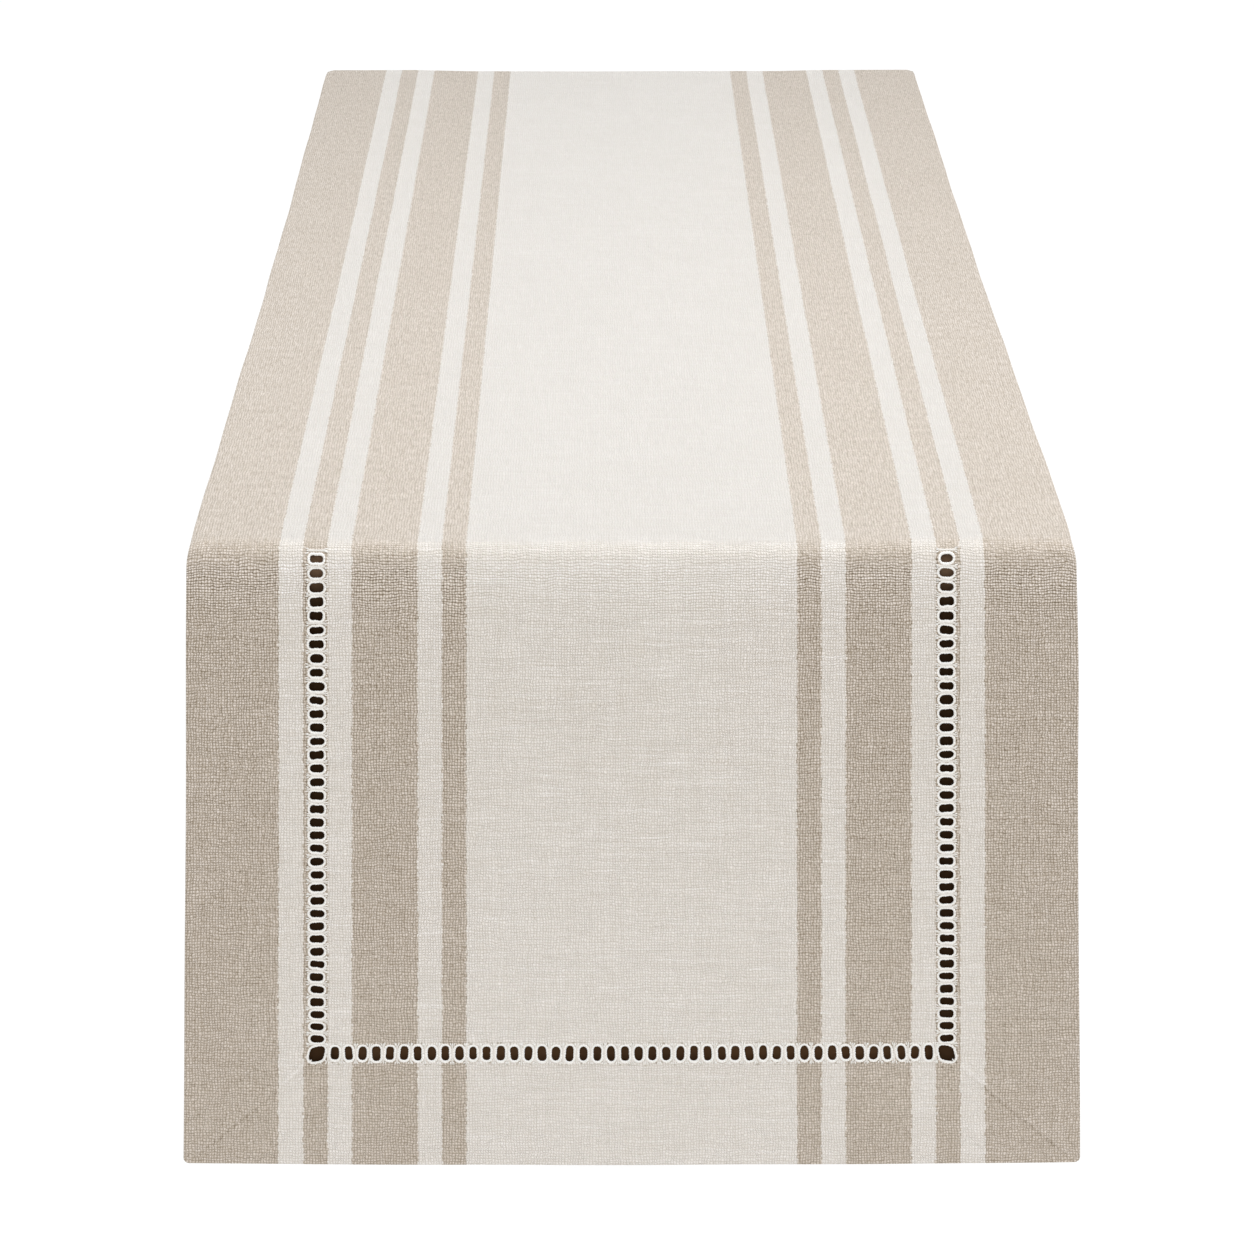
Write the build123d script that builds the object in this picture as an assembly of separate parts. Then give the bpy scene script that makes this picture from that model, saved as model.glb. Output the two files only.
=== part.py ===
from build123d import *
import math
import os

# Table runner: one length of striped cloth laid over a table, with both ends hanging down.
# Millimetres. The origin is the middle of the table top's surface, under the cloth. X runs across
# the runner, -Y towards the front end, and +Z up.

# ---- driving dimensions ----
RUNNER_WIDTH = 355.6          # 14 in
RUNNER_LENGTH = 1828.8        # 72 in, hem to hem along the cloth
CLOTH = 0.8                   # thickness of one layer
TABLE_EDGE_RADIUS = 8.4       # rounding that the cloth bends over
DROP = 246.0                  # straight hanging part, from the end of the bend to the hem
LEAN = 4.0                    # degrees that the stiff cloth stands out from plumb as it hangs
JOINT_GAP = 0.3               # clearance between the bend and the part that swings

# ---- stripes: the width of each band, from the centre band outwards ----
CENTRE_BAND = 131.6
INNER_FLAX = 9.8
IVORY = 9.7
WIDE_FLAX = 26.0
NARROW_FLAX = 9.7

# ---- openwork ladder ----
LADDER_WIDTH = 7.4            # drawn-thread channel that the ladder fills
HOLE_LONG = 5.6
HOLE_SHORT = 3.4
CORNER_HOLE = 6.0
CORNER_DOWN = 0.35            # how far a corner hole sits below the bottom row's centre line
SIDE_HOLES = 36               # holes of one side row on the hanging part
FIRST_HOLE = 2.9              # from the end of the bend to the first hole on the hanging part
LAST_HOLE = 5.9               # from the last side hole to the corner hole
TOP_PITCH_EXTRA = 0.07        # how much wider than the mean the pitch is at the top of a row
BOTTOM_HOLES = 44
BOTTOM_PITCH = 5.52
LADDER_TO_HEM = 46.4          # from the bottom row's centre line down to the hem
BEND_HOLE_BACK = 2.9          # from the bend's one hole to the end of the bend
BEND_LADDER = 5.7             # length of the ladder that lies on the bend

THREAD = 0.4                  # sewing thread

# ---- what follows from them ----
HALF_WIDTH = RUNNER_WIDTH / 2
MID_RADIUS = TABLE_EDGE_RADIUS + CLOTH / 2
BEND_ANGLE = 90.0 - LEAN
BEND_LENGTH = math.radians(BEND_ANGLE) * MID_RADIUS
BEND_LADDER_START = BEND_ANGLE - math.degrees(BEND_LADDER / MID_RADIUS)
SPAN_END = RUNNER_LENGTH / 2 - DROP - BEND_LENGTH
DROP_FACE = SPAN_END + TABLE_EDGE_RADIUS
DROP_TOP = -TABLE_EDGE_RADIUS - JOINT_GAP
HEM = -TABLE_EDGE_RADIUS - DROP
ROW_HEIGHT = HEM + LADDER_TO_HEM
ROW_TOP = ROW_HEIGHT + LADDER_WIDTH / 2
ROW_BOTTOM = ROW_HEIGHT - LADDER_WIDTH / 2
BEND_AXIS = Axis((0, -SPAN_END, -TABLE_EDGE_RADIUS), (1, 0, 0))


def stripe_edges():
    """Name of each band to its inner and outer distance from the centre line."""
    widths = {
        "inner_flax_stripes": INNER_FLAX,
        "inner_ivory_stripes": IVORY,
        "wide_flax_stripes": WIDE_FLAX,
        "outer_ivory_stripes": IVORY,
        "narrow_flax_stripes": NARROW_FLAX,
        "edge_ivory_stripes": IVORY,
    }
    edges = {}
    inner = CENTRE_BAND / 2
    for name, width in widths.items():
        edges[name] = (inner, inner + width)
        inner += width
    edges["border"] = (inner, HALF_WIDTH)
    return edges


STRIPES = stripe_edges()
FIELD_STRIPES = list(STRIPES)[:4]
FLAX_STRIPES = ["inner_flax_stripes", "wide_flax_stripes"]
IVORY_STRIPES = ["inner_ivory_stripes", "outer_ivory_stripes"]
LADDER_X = sum(STRIPES["narrow_flax_stripes"]) / 2
LADDER_IN = LADDER_X - LADDER_WIDTH / 2
LADDER_OUT = LADDER_X + LADDER_WIDTH / 2


def save(name, *solids):
    """Writes one node; every solid in it stays a separate piece."""
    pieces = [piece for solid in solids for piece in solid.solids()]
    export_step(Compound(children=pieces), f"parts/{name}.step")


def flip_x(solid):
    return mirror(solid, about=Plane.YZ)


def both_sides(solid):
    return [solid, flip_x(solid)]


def slab(points, direction):
    """A layer of cloth: a flat outline made one cloth thick in the given direction."""
    outline = Wire.make_polygon([Vector(*p) for p in points], close=True)
    return extrude(Face(outline), amount=CLOTH, dir=direction)


# ---- the flat part on the table top ----
def top_slab(x0, x1, z0, z1):
    """Cloth along the whole table top, from height z0 at x0 to height z1 at x1."""
    points = [(x0, -SPAN_END, z0), (x1, -SPAN_END, z1), (x1, SPAN_END, z1), (x0, SPAN_END, z0)]
    return slab(points, (0, 0, 1))


def span_parts():
    save("span_centre_band", top_slab(-CENTRE_BAND / 2, CENTRE_BAND / 2, 0, 0))
    for name in FIELD_STRIPES:
        x0, x1 = STRIPES[name]
        save(f"span_{name}", *both_sides(top_slab(x0, x1, 0, 0)))
    x0, x1 = STRIPES["narrow_flax_stripes"]
    narrow = top_slab(x0, LADDER_IN, 0, 0) + top_slab(LADDER_IN, LADDER_OUT, 0, CLOTH)
    narrow += top_slab(LADDER_OUT, x1, CLOTH, CLOTH)
    save("span_narrow_flax_stripes", *both_sides(narrow))
    x0, x1 = STRIPES["edge_ivory_stripes"]
    save("span_edge_ivory_stripes", *both_sides(top_slab(x0, x1, CLOTH, CLOTH)))
    x0, x1 = STRIPES["border"]
    right_border = top_slab(x0, x1, CLOTH, CLOTH)
    right_facing = top_slab(LADDER_OUT, HALF_WIDTH, 0, 0)
    save("span_right_border", right_border)
    save("span_left_border", flip_x(right_border))
    save("span_right_hem_facing", right_facing)
    save("span_left_hem_facing", flip_x(right_facing))
    thread = Pos(LADDER_OUT - THREAD / 2, 0, THREAD / 2) * Box(THREAD, 2 * SPAN_END, THREAD)
    save("span_hem_thread", *both_sides(thread))


# ---- the bend over the table's edge ----
def bend_slab(x0, x1, r0, r1, start=0.0, end=BEND_ANGLE):
    """Cloth round the front bend, from radius r0 at x0 to r1 at x1, both on the cloth's underside."""
    heights = [(x0, r0), (x1, r1), (x1, r1 + CLOTH), (x0, r0 + CLOTH)]
    points = [(x, -SPAN_END, r - TABLE_EDGE_RADIUS) for x, r in heights]
    section = Face(Wire.make_polygon([Vector(*p) for p in points], close=True))
    turned = revolve(section, axis=BEND_AXIS, revolution_arc=end - start)
    return turned.rotate(BEND_AXIS, start)


def bend_hole():
    """Cutter for the one ladder hole on the bend, on the right-hand side."""
    angle = BEND_ANGLE - math.degrees(BEND_HOLE_BACK / MID_RADIUS)
    cutter = Pos(LADDER_X, -SPAN_END, 0) * Box(HOLE_LONG, HOLE_SHORT, 6 * CLOTH)
    return cutter.rotate(BEND_AXIS, angle)


def bend_parts(side, place):
    low = TABLE_EDGE_RADIUS
    high = TABLE_EDGE_RADIUS + CLOTH
    ivory = [bend_slab(-CENTRE_BAND / 2, CENTRE_BAND / 2, low, low)]
    for name in IVORY_STRIPES:
        ivory += both_sides(bend_slab(*STRIPES[name], low, low))
    ivory += both_sides(bend_slab(*STRIPES["edge_ivory_stripes"], high, high))
    save(f"{side}_bend_ivory", *[place(s) for s in ivory])

    flax = []
    for name in FLAX_STRIPES:
        flax += both_sides(bend_slab(*STRIPES[name], low, low))
    x0, x1 = STRIPES["narrow_flax_stripes"]
    flax += both_sides(bend_slab(x0, LADDER_IN, low, low))
    flax += both_sides(bend_slab(LADDER_IN, LADDER_OUT, low, high, end=BEND_LADDER_START))
    flax += both_sides(bend_slab(LADDER_OUT, x1, high, high))
    flax += both_sides(bend_slab(*STRIPES["border"], high, high))
    save(f"{side}_bend_flax", *[place(s) for s in flax])

    ladder = bend_slab(LADDER_IN, LADDER_OUT, low, high, start=BEND_LADDER_START) - bend_hole()
    save(f"{side}_bend_ladder", *[place(s) for s in both_sides(ladder)])
    facing = bend_slab(LADDER_OUT, HALF_WIDTH, low, low)
    save(f"{side}_bend_hem_facings", *[place(s) for s in both_sides(facing)])


# ---- the hanging part, made plumb and then leant out with lean ----
def hung_slab(corners):
    """Cloth on the front hanging part. Each corner is (x, z, layers of cloth behind it)."""
    points = [(x, -DROP_FACE - CLOTH * layer, z) for x, z, layer in corners]
    return slab(points, (0, -1, 0))


def hung_box(x0, x1, z0, z1, layer):
    return hung_slab([(x0, z0, layer), (x1, z0, layer), (x1, z1, layer), (x0, z1, layer)])


def field_stripe(x0, x1):
    """A stripe above the bottom row, and the same stripe over the end hem below it."""
    return [hung_box(x0, x1, ROW_TOP, DROP_TOP, 0), hung_box(x0, x1, HEM, ROW_BOTTOM, 1)]


def hole_cutter(x, z, wide, tall):
    return Pos(x, -DROP_FACE - CLOTH, z) * Box(wide, 6 * CLOTH, tall)


def side_hole_heights():
    """Heights of one side row's holes; the pitch closes up a little from the top to the bottom."""
    first = -TABLE_EDGE_RADIUS - FIRST_HOLE
    last = ROW_HEIGHT + LAST_HOLE
    heights = []
    for i in range(SIDE_HOLES):
        t = i / (SIDE_HOLES - 1)
        eased = t + TOP_PITCH_EXTRA * t * (1 - t)
        heights.append(first + (last - first) * eased)
    return heights


def side_ladder():
    corners = [
        (LADDER_IN, ROW_TOP, 0),
        (LADDER_OUT, ROW_TOP, 1),
        (LADDER_OUT, DROP_TOP, 1),
        (LADDER_IN, DROP_TOP, 0),
    ]
    cutters = [hole_cutter(LADDER_X, z, HOLE_LONG, HOLE_SHORT) for z in side_hole_heights()]
    return hung_slab(corners) - Compound(children=cutters)


def bottom_ladder():
    corners = [
        (-LADDER_IN, ROW_BOTTOM, 1),
        (LADDER_IN, ROW_BOTTOM, 1),
        (LADDER_IN, ROW_TOP, 0),
        (-LADDER_IN, ROW_TOP, 0),
    ]
    first = -BOTTOM_PITCH * (BOTTOM_HOLES - 1) / 2
    places = [first + BOTTOM_PITCH * i for i in range(BOTTOM_HOLES)]
    cutters = [hole_cutter(x, ROW_HEIGHT, HOLE_SHORT, HOLE_LONG) for x in places]
    return hung_slab(corners) - Compound(children=cutters)


def corner_ladder():
    """Where the side row meets the bottom row: two flat facets that share the cloth's step."""
    inner_top = (LADDER_IN, ROW_TOP, 0)
    outer_top = (LADDER_OUT, ROW_TOP, 1)
    outer_bottom = (LADDER_OUT, ROW_BOTTOM, 1)
    inner_bottom = (LADDER_IN, ROW_BOTTOM, 1)
    facets = hung_slab([inner_top, outer_top, inner_bottom])
    facets += hung_slab([outer_top, outer_bottom, inner_bottom])
    return facets - hole_cutter(LADDER_X, ROW_HEIGHT - CORNER_DOWN, CORNER_HOLE, CORNER_HOLE)


def narrow_stripe():
    """The flax left on each side of the ladder, and under it down to the hem."""
    x0, x1 = STRIPES["narrow_flax_stripes"]
    inner = hung_box(x0, LADDER_IN, ROW_TOP, DROP_TOP, 0)
    outer = hung_box(LADDER_OUT, x1, ROW_BOTTOM, DROP_TOP, 1)
    below = hung_box(x0, x1, HEM, ROW_BOTTOM, 1)
    return [inner, outer, below]


def mitre_seam():
    """The sewn diagonal on the back, from the ladder's corner to the runner's corner."""
    half = THREAD / 2
    return hung_slab(
        [
            (LADDER_OUT, ROW_BOTTOM - half, 0),
            (HALF_WIDTH - half, HEM, 0),
            (HALF_WIDTH, HEM, 0),
            (HALF_WIDTH, HEM + half, 0),
            (LADDER_OUT, ROW_BOTTOM + half, 0),
        ]
    )


def side_facing():
    half = THREAD / 2
    return hung_slab(
        [
            (LADDER_OUT, ROW_BOTTOM + half, 0),
            (HALF_WIDTH, HEM + half, 0),
            (HALF_WIDTH, DROP_TOP, 0),
            (LADDER_OUT, DROP_TOP, 0),
        ]
    )


def end_facing():
    half = THREAD / 2
    outer = HALF_WIDTH - half
    return hung_slab(
        [
            (-LADDER_OUT, ROW_BOTTOM - half, 0),
            (-outer, HEM, 0),
            (outer, HEM, 0),
            (LADDER_OUT, ROW_BOTTOM - half, 0),
        ]
    )


def hanging_parts(side, place):
    centre = CENTRE_BAND / 2
    save(f"{side}_centre_band", *[place(s) for s in field_stripe(-centre, centre)])
    for name in FIELD_STRIPES:
        stripes = [half for s in field_stripe(*STRIPES[name]) for half in both_sides(s)]
        save(f"{side}_{name}", *[place(s) for s in stripes])
    narrow = [half for s in narrow_stripe() for half in both_sides(s)]
    save(f"{side}_narrow_flax_stripes", *[place(s) for s in narrow])
    edge = hung_box(*STRIPES["edge_ivory_stripes"], HEM, DROP_TOP, 1)
    save(f"{side}_edge_ivory_stripes", *[place(s) for s in both_sides(edge)])

    hands = {
        "border": hung_box(*STRIPES["border"], HEM, DROP_TOP, 1),
        "hem_facing": side_facing(),
        "ladder": side_ladder(),
    }
    for name, right in hands.items():
        save(f"{side}_right_{name}", place(right))
        save(f"{side}_left_{name}", place(flip_x(right)))
    save(f"{side}_end_hem_facing", place(end_facing()))
    save(f"{side}_end_ladder", place(bottom_ladder()))
    save(f"{side}_ladder_corners", *[place(s) for s in both_sides(corner_ladder())])
    save(f"{side}_mitre_seams", *[place(s) for s in both_sides(mitre_seam())])


def at_front(solid):
    return solid


def at_back(solid):
    return mirror(solid, about=Plane.XZ)


def lean_out(solid):
    return solid.rotate(BEND_AXIS, -LEAN)


def pivot():
    """Distance out and height of the swing axis: the point about which the hanging part turns level
    with the table top and meets the cloth just where the straightened bend would bring it."""
    turn = math.radians(BEND_ANGLE)
    hung = complex(math.sin(turn), math.cos(turn) - 1)
    level = complex(turn, 0)
    turned = complex(math.cos(turn), math.sin(turn))
    centre = MID_RADIUS * (level - turned * hung) / (1 - turned)
    return SPAN_END + centre.real, CLOTH / 2 + centre.imag


os.makedirs("parts", exist_ok=True)
span_parts()
for end_name, to_end in (("front", at_front), ("back", at_back)):
    bend_parts(end_name, to_end)
    hanging_parts(end_name, lambda solid: to_end(lean_out(solid)))
print("end of the flat part", round(SPAN_END, 3), "swing axis", [round(v, 4) for v in pivot()])
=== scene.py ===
import math

import bmesh
import bpy
import numpy as np
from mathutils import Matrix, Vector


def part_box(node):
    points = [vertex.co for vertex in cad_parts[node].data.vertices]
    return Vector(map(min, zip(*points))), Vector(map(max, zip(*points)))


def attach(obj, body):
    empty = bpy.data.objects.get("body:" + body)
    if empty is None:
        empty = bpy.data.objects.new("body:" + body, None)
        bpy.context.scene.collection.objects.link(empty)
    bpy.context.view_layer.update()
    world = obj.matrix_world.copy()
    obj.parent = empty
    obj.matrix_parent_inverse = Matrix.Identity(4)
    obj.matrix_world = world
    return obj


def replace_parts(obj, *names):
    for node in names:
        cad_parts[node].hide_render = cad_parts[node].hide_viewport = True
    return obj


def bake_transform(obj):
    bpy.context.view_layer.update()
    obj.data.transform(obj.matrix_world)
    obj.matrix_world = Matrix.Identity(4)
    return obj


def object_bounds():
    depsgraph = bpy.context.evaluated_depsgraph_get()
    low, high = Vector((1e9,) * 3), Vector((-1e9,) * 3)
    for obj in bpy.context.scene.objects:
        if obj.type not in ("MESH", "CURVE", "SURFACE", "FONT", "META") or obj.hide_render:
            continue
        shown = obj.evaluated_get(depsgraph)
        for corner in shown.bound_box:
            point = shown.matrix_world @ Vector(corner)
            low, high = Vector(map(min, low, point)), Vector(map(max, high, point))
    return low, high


# Linen table runner, draped over a table with both ends hanging. Metres, in the CAD's frame.
# The cloth is described in its own coordinates: u across it, v along it from the middle, with the
# front end at negative v, and h up from the surface that it lies on. place() turns them into the
# frame. At an end, e is the distance past the line where the cloth starts to bend.

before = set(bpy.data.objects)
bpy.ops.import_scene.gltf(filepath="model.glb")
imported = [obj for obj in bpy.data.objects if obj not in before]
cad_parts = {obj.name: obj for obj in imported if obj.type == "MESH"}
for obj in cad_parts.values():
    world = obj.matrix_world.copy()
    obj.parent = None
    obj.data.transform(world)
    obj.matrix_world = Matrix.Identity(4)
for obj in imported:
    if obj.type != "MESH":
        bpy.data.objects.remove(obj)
cad_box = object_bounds()
rng = np.random.default_rng(14072)

MM = 0.001

# ---- the cloth, from the frame ----
HALF_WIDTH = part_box("span_right_border")[1].x
SPAN_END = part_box("span_centre_band")[1].y
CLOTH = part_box("span_centre_band")[1].z
LADDER_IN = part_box("front_right_ladder")[0].x
LADDER_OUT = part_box("front_right_ladder")[1].x
STRIPES = ("centre_band", "inner_flax_stripes", "inner_ivory_stripes", "wide_flax_stripes")
STRIPES += ("outer_ivory_stripes", "narrow_flax_stripes", "edge_ivory_stripes")
STRIPE_EDGES = [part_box(f"span_{name}")[1].x for name in STRIPES]

# ---- how it hangs ----
EDGE_RADIUS = 8.4 * MM
BEND = math.radians(86.0)
DROP = 246.0 * MM
FLARE = 0.015  # how much wider the cloth spreads at the hem
EDGE_OUT = 1.35 * MM  # how much further the borders' edges are let out at the hem
EDGE_IN = 1.3 * MM  # how far they are drawn in on the table
WAIST = 1.1 * MM  # and how much more in the middle of the table
RIGHT_BULGE = 0.8 * MM  # fullness of the right edge just under the bend
BULGE_DOWN = 0.17  # where that is, as a share of the drop
BULGE_SPREAD = 0.14
HEM_LIFT = 1.1 * MM  # how much higher the hem's corners hang than its middle
SWELL_HANGING = 0.9 * MM  # how far the cloth swells out at the hem
SWELL_LAID = 0.09 * MM  # and how far it lifts off the table
WAVER = 0.16 * MM  # sideways waver of its edges
MID_RADIUS = EDGE_RADIUS + CLOTH / 2
BEND_LENGTH = BEND * MID_RADIUS
HEM = BEND_LENGTH + DROP
SEAM_BACK = 12.0 * MM  # the end pieces start this far before the bend
SPAN_PIECES = 4

# ---- openwork ladder ----
LADDER = LADDER_OUT - LADDER_IN
LADDER_MID = (LADDER_IN + LADDER_OUT) / 2
ROW = HEM - 46.4 * MM  # centre line of the bottom row
ROW_START = ROW - LADDER / 2
ROW_END = ROW + LADDER / 2
HOLE_LONG = 5.6 * MM
HOLE_SHORT = 3.4 * MM
CORNER_HOLE = 6.0 * MM
CORNER_DOWN = 0.35 * MM  # how far a corner hole sits below the bottom row's centre line
CORNER_DRAWN = 0.11  # how far it is drawn out towards the runner's corner
SIDE_HOLES = 36
FIRST_HOLE = 2.9 * MM
BEND_HOLE_BACK = 2.6 * MM
LAST_HOLE = 5.9 * MM
TOP_PITCH_EXTRA = 0.07
TOP_HOLE_SIZE = 1.11  # a side row's holes shrink from this many times their size
SHRINK = 0.16  # by this much on the way down
LONGEST = 0.98  # but none is longer than this
BEND_HOLE_SIZE = 0.9
BOTTOM_HOLES = 44
BOTTOM_PITCH = 5.52 * MM
BOTTOM_HOLE_WIDE = 0.99
BOTTOM_HOLE_DEEP = 0.98
BEND_LADDER = 5.7 * MM
CELL = 4  # mesh squares along each side of a ladder cell

SQUARENESS = 2.4  # 2 is an ellipse, and more is squarer
SHIFT = 0.07 * MM  # the openings differ in place by about this much
WIDER = 0.03
DEEPER = 0.05
TURNED_BY = 3.0  # degrees

# ---- threads ----
RIM = 0.54 * MM  # half width of the wrapped thread round a hole
RIM_HIGH = 0.6 * MM
RIM_SUNK = 0.55 * RIM_HIGH
RIM_OUT = 0.61 * MM  # from a hole's outline out to the middle of that thread
CLOTH_OUT = 0.3 * MM  # and to the cut edge of the cloth under it
RIM_POINTS = 72
RIM_WRAPS = 18
BAR_SUNK = 0.16 * MM
STITCH = 0.25 * MM
STITCH_ARCH = 0.12 * MM
STITCH_DIVE = 0.18 * MM
SEWING = 0.2 * MM  # half width of the stitches on the reverse
FRINGE = 1.2 * MM  # length of the stitches that run out from a bar into the cloth
FRINGE_START = 3.1 * MM  # and where they start, from the row's centre line
SPLAYS = (-0.7, 0.0, 0.7)  # how they fan out, in millimetres
CORNER_STITCHES = (200, 232, 264, 290, 318, 345)
CORNER_STITCH_FROM = np.array([3.6, 3.4]) * MM
CORNER_STITCH_TO = np.array([5.0, 4.8]) * MM
SEAM_STITCH = 2.6 * MM  # pitch of the stitches across a mitred seam
HEM_STITCH = 5.0 * MM  # and of those along a side hem

# ---- hems ----
FOLD = CLOTH  # radius of the fold at the runner's edge
TURNED = CLOTH / 2  # radius of the facing's turned-in edge
CORNER = 1.4 * MM  # rounding of the hem's corners, measured on the fold line
FOLD_U = HALF_WIDTH - FOLD
FOLD_E = HEM - FOLD
MITRE_ACROSS = HALF_WIDTH - LADDER_OUT
MITRE_DOWN = HEM - ROW_END
MITRE_RIDGE = 0.3 * MM
MITRE_WIDE = 1.3 * MM
MITRE_DOTS = 2.6 * MM  # pitch of the needle pricks beside it
RAMP = 45.0 * MM  # how far in from a facing its thickness still lifts the cloth
DROOP = 1.1 * MM  # how far the outer edge sags where it goes over the table's edge

# ---- mesh ----
BORDER_STEPS = 27  # squares between the ladder and the side fold
BEFORE_BEND_STEPS = 3
BEND_STEPS = 7
HEM_STEPS = 23  # and between the bottom row and the end fold
SPAN_ROWS = 61
FOLD_STEPS = 6
FACING_STEPS = 10
TURNED_STEPS = 4

# ---- weave ----
YARN = 1.12 * MM  # from one yarn to the next, both ways
THREAD = 0.62 * MM  # one thin or thick place in the yarn is this wide
SLUB_SCALE = 45.0  # and there are about this many along a metre
SLUB_APART = 3.17  # keeps one yarn's places from lining up with the next one's


# ======== cloth coordinates ========
def smooth(t):
    t = np.clip(t, 0, 1)
    return t * t * (3 - 2 * t)


def hanging(v):
    """0 where the cloth starts to hang, 1 at the hem."""
    return np.clip((np.abs(v) - SPAN_END - BEND_LENGTH) / DROP, 0, 1)


def wave(at, length, phase):
    return np.sin(2 * np.pi * at / length + phase)


def swell(u, v):
    """How far the cloth stands off its plain shape: faint on the table, more towards a hem."""
    hang = hanging(v)
    turn = np.where(v < 0, 0.0, 2.2)
    ripple = 0.55 * wave(u, 0.21, 0.7 + turn + 1.1 * hang)
    ripple += 0.30 * wave(u, 0.094, 2.1 * turn + 2.0 * hang)
    ripple += 0.15 * wave(hang, 0.55, 9 * u + turn)
    lift = 1 + wave(v, 0.37, 2.4 * wave(u, 0.29, 0.4))
    return SWELL_HANGING * hang**1.2 * ripple + SWELL_LAID * lift * (1 - hang)


def wander(u, v):
    """Sideways waver of the cloth, mostly at its edges."""
    reach = (u / HALF_WIDTH) ** 3
    phase = np.where(u < 0, 1.9, 0.3)
    return WAVER * reach * (wave(v, 0.31, phase) + 0.5 * wave(v, 0.13, 2 * phase))


def edge_shift(u, v):
    """How far the borders beyond the ladder are let out, or drawn in where that is negative."""
    border = np.clip((np.abs(u) - LADDER_OUT) / MITRE_ACROSS, 0, 1)
    hang = hanging(v)
    middle = np.cos(np.pi / 2 * np.clip(v / SPAN_END, -1, 1)) ** 2
    on_table = 1 - smooth((np.abs(v) - SPAN_END) / BEND_LENGTH)
    bulge = RIGHT_BULGE * (u > 0) * np.exp(-(((hang - BULGE_DOWN) / BULGE_SPREAD) ** 2))
    bulge = bulge * (1 - on_table)
    return border * (EDGE_OUT * hang**0.85 + bulge - on_table * (EDGE_IN + WAIST * middle))


def droop(u, past):
    """How far the outer edge sags where the cloth starts to go over the table's edge."""
    outer = smooth((np.abs(u) - HALF_WIDTH + 4 * DROOP) / (4 * DROOP))
    return DROOP * outer * np.exp(-(((past - EDGE_RADIUS / 2) / (1.6 * EDGE_RADIUS)) ** 2))


def place(u, v, h):
    """Cloth coordinates to points of the frame."""
    past = np.abs(v) - SPAN_END
    turn = np.clip(past / MID_RADIUS, 0, BEND)
    hang = np.maximum(past - BEND_LENGTH, 0)
    radius = EDGE_RADIUS + h + swell(u, v)
    out = np.minimum(np.abs(v), SPAN_END) + radius * np.sin(turn) + hang * math.cos(BEND)
    up = radius * np.cos(turn) - EDGE_RADIUS - hang * math.sin(BEND)
    up = up + HEM_LIFT * hanging(v) * (u / HALF_WIDTH) ** 4
    up = up - droop(u, past)
    x = u * (1 + FLARE * hanging(v)) + np.sign(u) * edge_shift(u, v) + wander(u, v)
    return np.stack([x, np.sign(v) * out, up], axis=-1)


def face_height(u, e):
    """Height of the cloth's face: one layer in the field, rising to two over the hem facings."""
    over_side = smooth((np.abs(u) - LADDER_OUT + RAMP) / RAMP)
    over_end = smooth((e - ROW_START) / LADDER)
    return CLOTH * (1 + np.maximum(over_side, over_end)) + mitre_ridge(u, e)


def mitre_ridge(u, e):
    """The seam of the mitred corner showing faintly through the face."""
    across = (np.abs(u) - LADDER_OUT) / MITRE_ACROSS
    down = (e - ROW_END) / MITRE_DOWN
    near = np.exp(-(((across - down) * (HEM - ROW) / MITRE_WIDE) ** 2))
    for share in (across, down, 1 - across, 1 - down):
        near = near * smooth(12 * share)
    return MITRE_RIDGE * near


# ======== mesh building ========
def triples(u, e, h):
    return np.stack([u, e, h], axis=-1)


def add_object(name, data):
    thing = bpy.data.objects.new(name, data)
    bpy.context.scene.collection.objects.link(thing)
    return thing


class Patch:
    """Points in cloth coordinates, where each lies in the weave, and the faces between them."""

    def __init__(self):
        self.count = 0
        self.points = []
        self.weave = []
        self.faces = []

    def add(self, points, weave=None):
        """Adds an array of (u, e, h) points and returns their numbers, in the same shape."""
        points = np.asarray(points, float)
        flat = points.reshape(-1, 3)
        self.points.append(flat)
        self.weave.append(flat[:, :2] if weave is None else np.asarray(weave, float).reshape(-1, 2))
        numbers = np.arange(self.count, self.count + len(flat)).reshape(points.shape[:-1])
        self.count += len(flat)
        return numbers

    def quads(self, numbers, closed=False):
        """Faces between the neighbouring rows and columns of a grid of point numbers."""
        if closed:
            numbers = np.concatenate([numbers, numbers[:1]])
        a, b = numbers[:-1, :-1], numbers[1:, :-1]
        c, d = numbers[1:, 1:], numbers[:-1, 1:]
        self.faces += np.stack([a, b, c, d], axis=-1).reshape(-1, 4).tolist()

    def piece(self, name, material, slot, end=None, solid=False):
        """Makes the object. end is -1 for the front and 1 for the back; without it, e is v."""
        points = np.concatenate(self.points)
        weave = np.concatenate(self.weave)
        faces = self.faces
        along = points[:, 1]
        if end is not None:
            along = end * (SPAN_END + points[:, 1])
            weave = np.stack([weave[:, 0], end * (SPAN_END + weave[:, 1])], axis=-1)
            if end < 0:
                faces = [face[::-1] for face in faces]
        placed = place(points[:, 0], along, points[:, 2])
        mesh = bpy.data.meshes.new(name)
        mesh.from_pydata(placed.tolist(), [], faces)
        mesh.update()
        corners = np.empty(len(mesh.loops), np.int32)
        mesh.loops.foreach_get("vertex_index", corners)
        layer = mesh.uv_layers.new(name="cloth")
        layer.data.foreach_set("uv", weave[corners].astype(np.float32).ravel())
        clean(mesh, solid)
        mesh.polygons.foreach_set("use_smooth", np.ones(len(mesh.polygons), bool))
        mesh.materials.append(material)
        piece = add_object(name, mesh)
        return piece


def clean(mesh, solid):
    """Turns a closed thread's faces outwards, or removes a sheet's points that have no face."""
    work = bmesh.new()
    work.from_mesh(mesh)
    if solid:
        bmesh.ops.recalc_face_normals(work, faces=work.faces)
    else:
        bmesh.ops.delete(work, geom=[p for p in work.verts if not p.link_faces], context="VERTS")
    work.to_mesh(mesh)
    work.free()


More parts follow.
